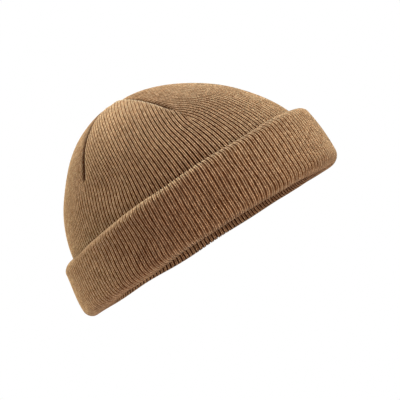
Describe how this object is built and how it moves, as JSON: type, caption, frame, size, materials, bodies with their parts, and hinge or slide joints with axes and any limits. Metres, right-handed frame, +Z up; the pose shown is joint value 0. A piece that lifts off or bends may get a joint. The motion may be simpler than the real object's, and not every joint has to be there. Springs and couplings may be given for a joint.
{
  "type": "cuffed knit beanie",
  "caption": "Brown rib-knit beanie: lined crown closed by darts at the top, over a turned-up cuff with a rolled hem that can be turned down.",
  "frame": {"origin": "centre of the hat's bounding box in plan, on the plane that the hem rests on", "axes": "+Z up through the crown, -Y to the wearer's front, +X to the wearer's left"},
  "size_m": [0.1854, 0.231, 0.1172],
  "materials": {
    "knit": "matte rib knit in mid brown yarn, deep grooves between the ribs, slightly fuzzy",
    "lining_knit": "the same matte rib knit on the inside of the hat",
    "thread": "matte overlock thread in the same brown"
  },
  "bodies": {
    "crown": {"outer_crown": "knit", "crown_lining": "lining_knit", "outer_dart_front": "thread", "outer_dart_left": "thread", "outer_dart_back": "thread", "outer_dart_right": "thread", "lining_dart_front_left": "thread", "lining_dart_back_left": "thread", "lining_dart_back_right": "thread", "lining_dart_front_right": "thread", "apex_tack": "thread"},
    "cuff": {"cuff_face": "knit", "cuff_fold": "knit", "cuff_back": "knit", "hem_turn": "knit", "inner_hem_turn": "lining_knit"}
  },
  "joints": [
    {"name": "cuff_turn_down", "type": "slide", "parent": "crown", "child": "cuff", "axis": [0, 0, 1], "range_m": [-0.027, 0]}
  ]
}
